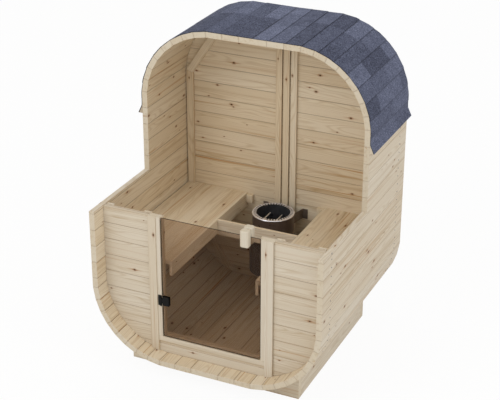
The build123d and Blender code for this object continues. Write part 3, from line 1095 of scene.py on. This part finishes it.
# %% Glass finishes
BRONZE, BRONZE_IOR = colour(210, 196, 184), 1.14
HAZE_SCALE, HAZE_DETAIL = 5.0, 3.0
HAZE_RIM, HAZE_MOST = (0.35, 0.8), 0.03
RIM_DARK, RIM_LIGHT, RIM_IOR = colour(30, 23, 18), colour(46, 36, 28), 1.5
GROUND_SCALE, GROUND_DETAIL = 300.0, 2.0
RIM_ROUGH, RIM_ROUGH_SPAN = 0.1, 0.3


def bronze_finish():
    """Clear tinted glass with a faint haze."""
    constants = {"Transmission_Weight": 1.0, "IOR": BRONZE_IOR, "Base_Color": BRONZE}
    material, start, shader = finish_of("bronze_glass", **constants)
    haze = noise(start, object_place(start), HAZE_SCALE, HAZE_DETAIL)
    feed(haze.step(*HAZE_RIM) * HAZE_MOST, shader, "Roughness")
    return material


def rim_finish():
    """The ground edge of the pane: nearly black, with the fine marks of the grinding."""
    material, start, shader = finish_of("glass_rim", IOR=RIM_IOR)
    ground = noise(start, object_place(start), GROUND_SCALE, GROUND_DETAIL)
    feed(ground.mix(RIM_DARK, RIM_LIGHT), shader, "Base Color")
    feed(ground * RIM_ROUGH_SPAN + RIM_ROUGH, shader, "Roughness")
    return material


shown("door_pane", pane_mesh, bronze_finish(), body="door", stand_for=("door_glass",))
pane_mesh.materials.append(rim_finish())

# %% [markdown]
# ## Steel and enamel
# The hinge is black painted steel. The heater has a brown body, a black well, a bright ring and steel
# elements. Each could be a flat colour, but real metal is never even: paint clouds a little, and its
# gloss changes from place to place. One function makes them all from two near colours, a roughness
# and a share of bare metal.

# %% Metal finishes
METAL_RIM, METAL_DETAIL = (0.3, 0.75), 5.0
GLOSS_CHANGE = 0.12
METAL_RELIEF = (0.04, 0.0004)


def metal(name, dark, light, rough, metallic, scale, sheen=0.5):
    """A painted or bare metal with faint clouding in its colour and gloss."""
    material, start, shader = finish_of(name, Metallic=metallic, Specular_IOR_Level=sheen)
    cloud = noise(start, object_place(start), scale, METAL_DETAIL)
    feed(cloud.step(*METAL_RIM).mix(colour(*dark), colour(*light)), shader, "Base Color")
    feed(rough + (cloud - NOISE_MIDDLE) * GLOSS_CHANGE, shader, "Roughness")
    feed(relief(start, cloud, *METAL_RELIEF), shader, "Normal")
    return material


black_steel = metal(
    "black_steel", (10, 10, 10), (18, 18, 18), rough=0.6, metallic=0.0, scale=60.0, sheen=0.15,
)
heater_brown = metal("heater_brown", (86, 73, 66), (94, 81, 73), rough=0.3, metallic=0.2, scale=30.0)
heater_black = metal("heater_black", (46, 46, 48), (60, 60, 62), rough=0.5, metallic=0.0, scale=40.0)
bracket_steel = metal(
    "bracket_steel", (106, 95, 86), (124, 112, 102), rough=0.3, metallic=0.3, scale=30.0,
)
print("metals", [finish.name for finish in (black_steel, heater_brown, heater_black, bracket_steel)])

# %% [markdown]
# ## Hinge, heater body and bracket
# The leaves of the hinge, its clamp plate, the heater's jacket and chamber and its bracket have the
# right shape in the packed model. They could be replaced by new pieces, but nothing would look
# better for it, so their nodes stay and only get a finish.

# %% Dressed nodes
DRESSED = (
    ("hinge_frame_leaf", black_steel, "black_steel"),
    ("hinge_door_leaf", black_steel, "black_steel"),
    ("hinge_clamp_plate", black_steel, "black_steel"),
    ("heater_jacket", heater_brown, "heater_brown"),
    ("heater_chamber", heater_black, "heater_black"),
    ("heater_bracket", bracket_steel, "heater_black"),
)
for node, finish, slot in DRESSED:
    nodes[node].data.materials.clear()
    nodes[node].data.materials.append(finish)
print("dressed", len(DRESSED), "nodes")

# %% [markdown]
# ## Turning a section
# The heater's ring and the screws are round, as if turned on a lathe. Blender's screw modifier could
# turn a section too, but a short loop does it for any axis and leaves a plain mesh. It sets the
# section up in every direction round the axis, and then joins each copy to the next.

# %% Turned shapes
def joined(mesh, rings):
    """Faces between each ring of points and the next one."""
    for here, there in zip(rings, rings[1:]):
        for a in range(len(here)):
            mesh.faces.new((here[a - 1], here[a], there[a], there[a - 1]))


def turned(mesh, section, foot, axis, first_way, sides):
    """A closed section of (radius, height) points, turned round an axis that starts at a foot."""
    second_way = axis.cross(first_way)
    rings = []
    for step in range(sides):
        angle = 2 * math.pi * step / sides
        way = first_way * math.cos(angle) + second_way * math.sin(angle)
        rings.append([mesh.verts.new(foot + way * r + axis * h) for r, h in section])
    joined(mesh, rings + rings[:1])


ring_low, ring_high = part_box("heater_ring")
heater_middle = (ring_low + ring_high) / 2
heater_foot = Vector((heater_middle.x, heater_middle.y, 0))
print("ring", [round(v, 4) for v in ring_high - ring_low])

# %% [markdown]
# ## The heater's ring
# The ring round the heater's mouth is a bright rolled edge. A flat washer would mirror only the wall
# behind it, while a rounded one catches the light of the whole room. So its section runs up the
# inner edge, along the top, down a quarter of an oval to a thin lip, and back under the band. Its
# reach and its top come from the packed ring.

# %% Rolled band
RING_SIDES = 128
ROLL_STEPS = 8
ROLL_DROP = 0.006
ROLL_WIDTH = 0.009
BAND_WIDTH = 0.011
RING_SKIN = 0.0012
ring_reach = (ring_high.x - ring_low.x) / 2
band_edge = ring_reach - BAND_WIDTH
crown = ring_reach - ROLL_WIDTH
section = [(band_edge, ring_low.z + RING_SKIN), (band_edge, ring_high.z)]
for step in range(ROLL_STEPS + 1):
    angle = math.pi / 2 * step / ROLL_STEPS
    drop = ROLL_DROP * (1 - math.cos(angle))
    section.append((crown + ROLL_WIDTH * math.sin(angle), ring_high.z - drop))
section.append((ring_reach - RING_SKIN, ring_high.z - ROLL_DROP))
section.append((crown, ring_low.z + RING_SKIN))
ring_mesh = bmesh.new()
turned(ring_mesh, section, heater_foot, UPRIGHT, CROSSWISE, RING_SIDES)
print("section", len(section), "points")

# %% [markdown]
# ## Teeth of the ring
# A row of flat teeth points from the ring to the heater's middle. The packed ones could stay, but
# they are narrower than the real ones look, so they are drawn again in the same places, a little
# wider. The ring is shaded smooth, and its real edges are kept sharp.

# %% Teeth and the finished ring
TOOTH_WIDTH = 0.0105
TOOTH_SKIN = 0.002
TOOTH_DROP = RING_SKIN / 4


def add_tooth(mesh, way, inner, outer, top):
    """A flat tooth that points from the ring towards the heater's middle."""
    aside = UPRIGHT.cross(way) * (TOOTH_WIDTH / 2)
    outline = (way * inner - aside, way * inner + aside, way * outer + aside, way * outer - aside)
    lower, upper = (
        [mesh.verts.new(heater_foot + UPRIGHT * height + place) for place in outline]
        for height in (top - TOOTH_SKIN, top)
    )
    mesh.faces.new(lower)
    mesh.faces.new(upper[::-1])
    joined(mesh, [upper, lower])


def smooth_piece(name, solid, finish, stand_for):
    """A round piece: smooth shading, with its real edges kept sharp."""
    data = mesh_of(name, solid)
    data.shade_smooth()
    data.set_sharp_from_angle(angle=SHARP_ANGLE)
    return shown(name, data, finish, stand_for=stand_for)


teeth = solids_of("heater_ring_teeth")
for solid in teeth:
    reach = centre_of(solid) - heater_middle
    way = Vector((reach.x, reach.y, 0)).normalized()
    inner = min((v.co - heater_middle).dot(way) for v in solid.verts)
    add_tooth(ring_mesh, way, inner, band_edge + RING_SKIN, ring_high.z - TOOTH_DROP)
bright_ring = metal(
    "bright_ring", (234, 234, 242), (246, 246, 252), rough=0.14, metallic=0.7, scale=50.0,
)
ring_nodes = ("heater_ring", "heater_ring_teeth")
smooth_piece("heater_toothed_ring", ring_mesh, bright_ring, ring_nodes)
print("teeth", len(teeth))

# %% [markdown]
# ## The loop of a heating element
# Two bent steel tubes stand in the heater's well. The line along the middle of each could be drawn as
# a curve with handles, but it is only two legs, two quarter circles and a straight top. So its points
# are worked out from the box of the packed tubes.

# %% Line of an element
TUBE_RADIUS = 0.006
BEND_RADIUS = 0.036
BEND_STEPS = 10
element_low, element_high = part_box("heating_elements")


def bent_line(x):
    """An upright loop: up one leg, round two bends and down the other leg."""
    near = element_low.y + TUBE_RADIUS
    far = element_high.y - TUBE_RADIUS
    bend_height = element_high.z - TUBE_RADIUS - BEND_RADIUS
    line = [Vector((x, near, element_low.z))]
    for middle, first in ((near + BEND_RADIUS, math.pi), (far - BEND_RADIUS, math.pi / 2)):
        centre = Vector((x, middle, bend_height))
        for step in range(BEND_STEPS + 1):
            angle = first - math.pi / 2 * step / BEND_STEPS
            line.append(centre + Vector((0, math.cos(angle), math.sin(angle))) * BEND_RADIUS)
    line.append(Vector((x, far, element_low.z)))
    return line


element_lines = [bent_line(x) for x in (element_low.x + TUBE_RADIUS, element_high.x - TUBE_RADIUS)]
print("points on a line", len(element_lines[0]))

# %% [markdown]
# ## Heating elements
# The packed tubes could stay, and a curve with a bevel could draw them again. Here a circle is swept
# along each line by hand, because that gives an even grid of faces, which a bright finish mirrors
# without breaks, and a closed end on each leg.

# %% Swept tubes
TUBE_SIDES = 20


def swept(mesh, line, radius, sides):
    """A round tube along a line that lies in an upright plane."""
    turns = [2 * math.pi * step / sides for step in range(sides)]
    rings = []
    for index, place in enumerate(line):
        way = (line[min(index + 1, len(line) - 1)] - line[max(index - 1, 0)]).normalized()
        up = way.cross(CROSSWISE)
        spokes = [CROSSWISE * math.cos(t) + up * math.sin(t) for t in turns]
        rings.append([mesh.verts.new(place + spoke * radius) for spoke in spokes])
    joined(mesh, rings)
    mesh.faces.new(rings[0])
    mesh.faces.new(rings[-1])


tubes = bmesh.new()
for line in element_lines:
    swept(tubes, line, TUBE_RADIUS, TUBE_SIDES)
bmesh.ops.recalc_face_normals(tubes, faces=tubes.faces)
element_steel = metal(
    "element_steel", (222, 224, 230), (236, 238, 244), rough=0.1, metallic=1.0, scale=50.0,
)
smooth_piece("heater_bent_elements", tubes, element_steel, ("heating_elements",))

# %% [markdown]
# ## Where the screws go
# Two screws hold each stave to the end wall behind it, so they stand over the middle of each wall that
# the stave crosses. Their places could be typed in, but there are more than a hundred, and they
# follow from the walls and from each stave's outer face. On a narrow stave the two come closer
# together, so that neither hangs over an edge.

# %% Places on a stave
SCREW_SPREAD = 0.028
shell_middle = (cad_low + cad_high) / 2
wall_lines = [sum(p.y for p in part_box(wall)) / 2 for wall in ("front_wall_left", "back_wall_left")]


def outer_face(solid):
    """A stave's broad face on the outside of the shell."""
    def reach(face):
        away = face.calc_center_median() - shell_middle
        return face.calc_area() * face.normal.dot(Vector((away.x, 0, away.z)))
    return max(solid.faces, key=reach)


def screw_places(solid, face):
    """Where the screws of one stave stand, two over each wall that it crosses."""
    middle = face.calc_center_median()
    aside = face.normal.cross(LENGTHWISE).normalized()
    reach = max(abs((v.co - middle).dot(aside)) for v in face.verts)
    spread = aside * min(SCREW_SPREAD, reach / 2)
    low, high = extent(solid, LENGTHWISE)
    crossed = [Vector((middle.x, y, middle.z)) for y in wall_lines if low < y < high]
    return [place + spread * side for place in crossed for side in (-1, 1)]


print("screws in line with", [round(y, 3) for y in wall_lines])

# %% [markdown]
# ## Screw heads
# From a few steps away the screws are lines of small grey dots. Dots in the material would do for the
# picture, but they would give the screws no shape. So each one is a turned head with a sunk socket,
# which stands just proud of the stave.

# %% Screw heads on the staves
SCREW_NODES = (
    "lower_right_corner", "lower_left_corner", "left_side_lower", "left_side_upper",
    "right_side_lower", "right_side_upper", "floor_staves",
)
SCREW_SIDES = 14
HEAD = (
    (0.0001, 0.0002), (0.0012, 0.0002), (0.0018, 0.0008),
    (0.0036, 0.0009), (0.0043, 0.0004), (0.0043, -0.001),
)
heads = bmesh.new()
screw_count = 0
for node in SCREW_NODES:
    for solid in solids_of(node):
        solid.normal_update()
        face = outer_face(solid)
        for place in screw_places(solid, face):
            turned(heads, HEAD, place, face.normal, LENGTHWISE, SCREW_SIDES)
            screw_count += 1
bmesh.ops.recalc_face_normals(heads, faces=heads.faces)
screw_zinc = metal(
    "screw_zinc", (62, 66, 82), (84, 88, 104), rough=0.5, metallic=0.2, scale=80.0, sheen=0.3,
)
shown("stave_screws", mesh_of("stave_screws", heads), screw_zinc)
print("screws", screw_count)

# %% [markdown]
# ## Camera
# The photograph was taken from the right of the door and from above, with a long lens. A camera could
# be pointed at the object by a constraint, but its roll and its exact aim matter here. So it is set
# by the place and the angles, in degrees, that were fitted to the photograph.

# %% Camera where the photograph was taken
PHOTO_WIDTH = 500
FOCAL_PIXELS = 1338.42
SENSOR = 36.0
CAMERA_PLACE = (3.3145, -7.1841, 4.817)
CAMERA_YAW, CAMERA_PITCH, CAMERA_ROLL = 24.837, 25.559, 0.1155
camera_data = bpy.data.cameras.new("photo_camera")
camera_data.sensor_width = SENSOR
camera_data.lens = FOCAL_PIXELS / PHOTO_WIDTH * SENSOR
camera = placed("photo_camera", camera_data)
yaw, pitch, roll = (math.radians(v) for v in (CAMERA_YAW, CAMERA_PITCH, CAMERA_ROLL))
forward = Vector((-math.sin(yaw) * math.cos(pitch), math.cos(yaw) * math.cos(pitch), -math.sin(pitch)))
level = Vector((math.cos(yaw), math.sin(yaw), 0))
rise = level.cross(forward)
right = level * math.cos(roll) + rise * math.sin(roll)
top = rise * math.cos(roll) - level * math.sin(roll)
turn = Matrix((right, top, -forward)).transposed().to_4x4()
camera.matrix_world = Matrix.Translation(CAMERA_PLACE) @ turn
bpy.context.scene.camera = camera
print("lens", round(camera_data.lens, 2), "mm")

# %% [markdown]
# ## Floor
# The sauna stands on a plain white floor that runs into a white background. More light would wash out
# the wood, so the floor glows instead, but only for rays that come straight from the camera, from
# a mirror or through the glass. Light that bounces meets an ordinary pale floor. A small share of
# that floor stays in the picture, which keeps a soft shadow.

# %% White floor
FLOOR_HALF = 40.0
FLOOR_PALE, FLOOR_ROUGH = (0.9, 0.9, 0.9, 1), 0.9
FLOOR_GLOW = 0.93
WHITE = (1, 1, 1, 1)
DIRECT_RAYS = ("Is Camera Ray", "Is Glossy Ray", "Is Transmission Ray")


def seen_directly(start):
    """One for rays that come straight from the camera, a mirror or a pane, and nought for light."""
    camera_ray, mirror_ray, pane_ray = (start.node("ShaderNodeLightPath", out=ray) for ray in DIRECT_RAYS)
    return camera_ray.larger(mirror_ray).larger(pane_ray)


floor_mesh = bpy.data.meshes.new("studio_floor")
corners = [(x * FLOOR_HALF, y * FLOOR_HALF, 0) for x, y in ((-1, -1), (1, -1), (1, 1), (-1, 1))]
floor_mesh.from_pydata(corners, [], [(0, 1, 2, 3)])
floor_finish, start, shader = finish_of("studio_floor", Base_Color=FLOOR_PALE, Roughness=FLOOR_ROUGH)
plain = Wire(start.tree, shader.outputs["BSDF"])
glow = start.node("ShaderNodeEmission", values={"Color": WHITE, "Strength": 1.0})
shared = start.node("ShaderNodeMixShader", values={0: seen_directly(start) * FLOOR_GLOW, 1: plain, 2: glow})
feed(shared, start.tree.nodes["Material Output"], "Surface")
floor_mesh.materials.append(floor_finish)
placed("studio_floor", floor_mesh)
print("floor", 2 * FLOOR_HALF, "m wide")

# %% [markdown]
# ## Light
# The photograph has soft light from all round, a little stronger from the front. A single small lamp
# would throw hard shadows into the room, so a white world does most of the work, and two large round
# softboxes give the staves and the ring their shape.

# %% World and lamps
AMBIENT = 0.8
WARM_WHITE = (1, 0.99, 0.97, 1)
LAMP_SIZE = 4.0
LAMP_AIM = Vector((0, 0, 0.9))
world = bpy.data.worlds.new("studio")
bpy.context.scene.world = world
world.use_nodes = True
start = Wire(world.node_tree)
white = start.node("ShaderNodeBackground", values={"Color": WHITE, "Strength": 1.0})
dim = start.node("ShaderNodeBackground", values={"Color": WARM_WHITE, "Strength": AMBIENT})
sky = start.node("ShaderNodeMixShader", values={0: seen_directly(start), 1: dim, 2: white})
feed(sky, world.node_tree.nodes["World Output"], "Surface")


def soft_lamp(name, place, power):
    """A round softbox that looks at the middle of the sauna."""
    data = bpy.data.lights.new(name, "AREA")
    data.shape = "DISK"
    data.size = LAMP_SIZE
    data.energy = power
    look = (LAMP_AIM - Vector(place)).to_track_quat("-Z", "Y")
    placed(name, data).matrix_world = Matrix.Translation(place) @ look.to_matrix().to_4x4()
    print(name, power, "watts")


soft_lamp("front_softbox", place=(-2.8, -6.0, 6.2), power=135)
soft_lamp("side_softbox", place=(6.0, -1.5, 5.0), power=62)
bpy.context.scene.view_settings.view_transform = "Standard"

# %% [markdown]
# ## Sizes
# The dressed object must not outgrow its solids, because the solids are what touches and moves. It
# could be checked by eye, but a few millimetres don't show.
